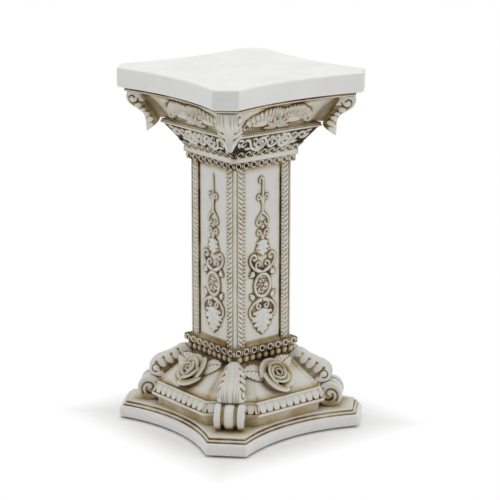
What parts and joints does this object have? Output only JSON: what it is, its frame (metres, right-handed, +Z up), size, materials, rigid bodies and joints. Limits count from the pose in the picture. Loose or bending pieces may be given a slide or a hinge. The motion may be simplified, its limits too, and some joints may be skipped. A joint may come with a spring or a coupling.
{
  "type": "column plant stand",
  "caption": "Small square column pedestal of cast resin with carved capital, roses on its base and corner volutes, used to raise a plant pot or ornament.",
  "frame": {"origin": "centre of the foot, on the floor plane", "axes": "+Z up the column; -Y and +X are the two sides seen in the picture"},
  "size_m": [0.125, 0.125, 0.225],
  "materials": {
    "carved_resin": "matte ivory cast resin with brown antique wash in the recesses",
    "top_resin": "matte off-white, clean and lightly mottled",
    "felt": "dark brown felt"
  },
  "bodies": {
    "root": {"base_bead_course": "carved_resin", "base_block": "carved_resin", "base_collar": "carved_resin", "base_corner_leaf_1": "carved_resin", "base_corner_leaf_2": "carved_resin", "base_corner_leaf_3": "carved_resin", "base_corner_leaf_4": "carved_resin", "base_corner_scroll_1": "carved_resin", "base_corner_scroll_2": "carved_resin", "base_corner_scroll_3": "carved_resin", "base_corner_scroll_4": "carved_resin", "base_leaf_band": "carved_resin", "base_ring_band": "carved_resin", "capital_bell": "carved_resin", "capital_corner_scroll_1": "carved_resin", "capital_corner_scroll_2": "carved_resin", "capital_corner_scroll_3": "carved_resin", "capital_corner_scroll_4": "carved_resin", "capital_fan_1": "carved_resin", "capital_fan_2": "carved_resin", "capital_fan_3": "carved_resin", "capital_fan_4": "carved_resin", "capital_plate": "carved_resin", "capital_ring_band": "carved_resin", "corner_rope_1": "carved_resin", "corner_rope_2": "carved_resin", "corner_rope_3": "carved_resin", "corner_rope_4": "carved_resin", "felt_pads": "felt", "frieze_scrolls_1": "carved_resin", "frieze_scrolls_2": "carved_resin", "frieze_scrolls_3": "carved_resin", "frieze_scrolls_4": "carved_resin", "ledge_rope": "carved_resin", "neck_collar": "carved_resin", "neck_ring_band": "carved_resin", "panel_sills": "carved_resin", "plinth": "carved_resin", "rose_1": "carved_resin", "rose_2": "carved_resin", "rose_3": "carved_resin", "rose_4": "carved_resin", "rose_leaves_1": "carved_resin", "rose_leaves_2": "carved_resin", "rose_leaves_3": "carved_resin", "rose_leaves_4": "carved_resin", "shaft": "carved_resin", "shaft_ornament_1": "carved_resin", "shaft_ornament_2": "carved_resin", "shaft_ornament_3": "carved_resin", "shaft_ornament_4": "carved_resin", "top_slab": "top_resin"}
  },
  "joints": []
}
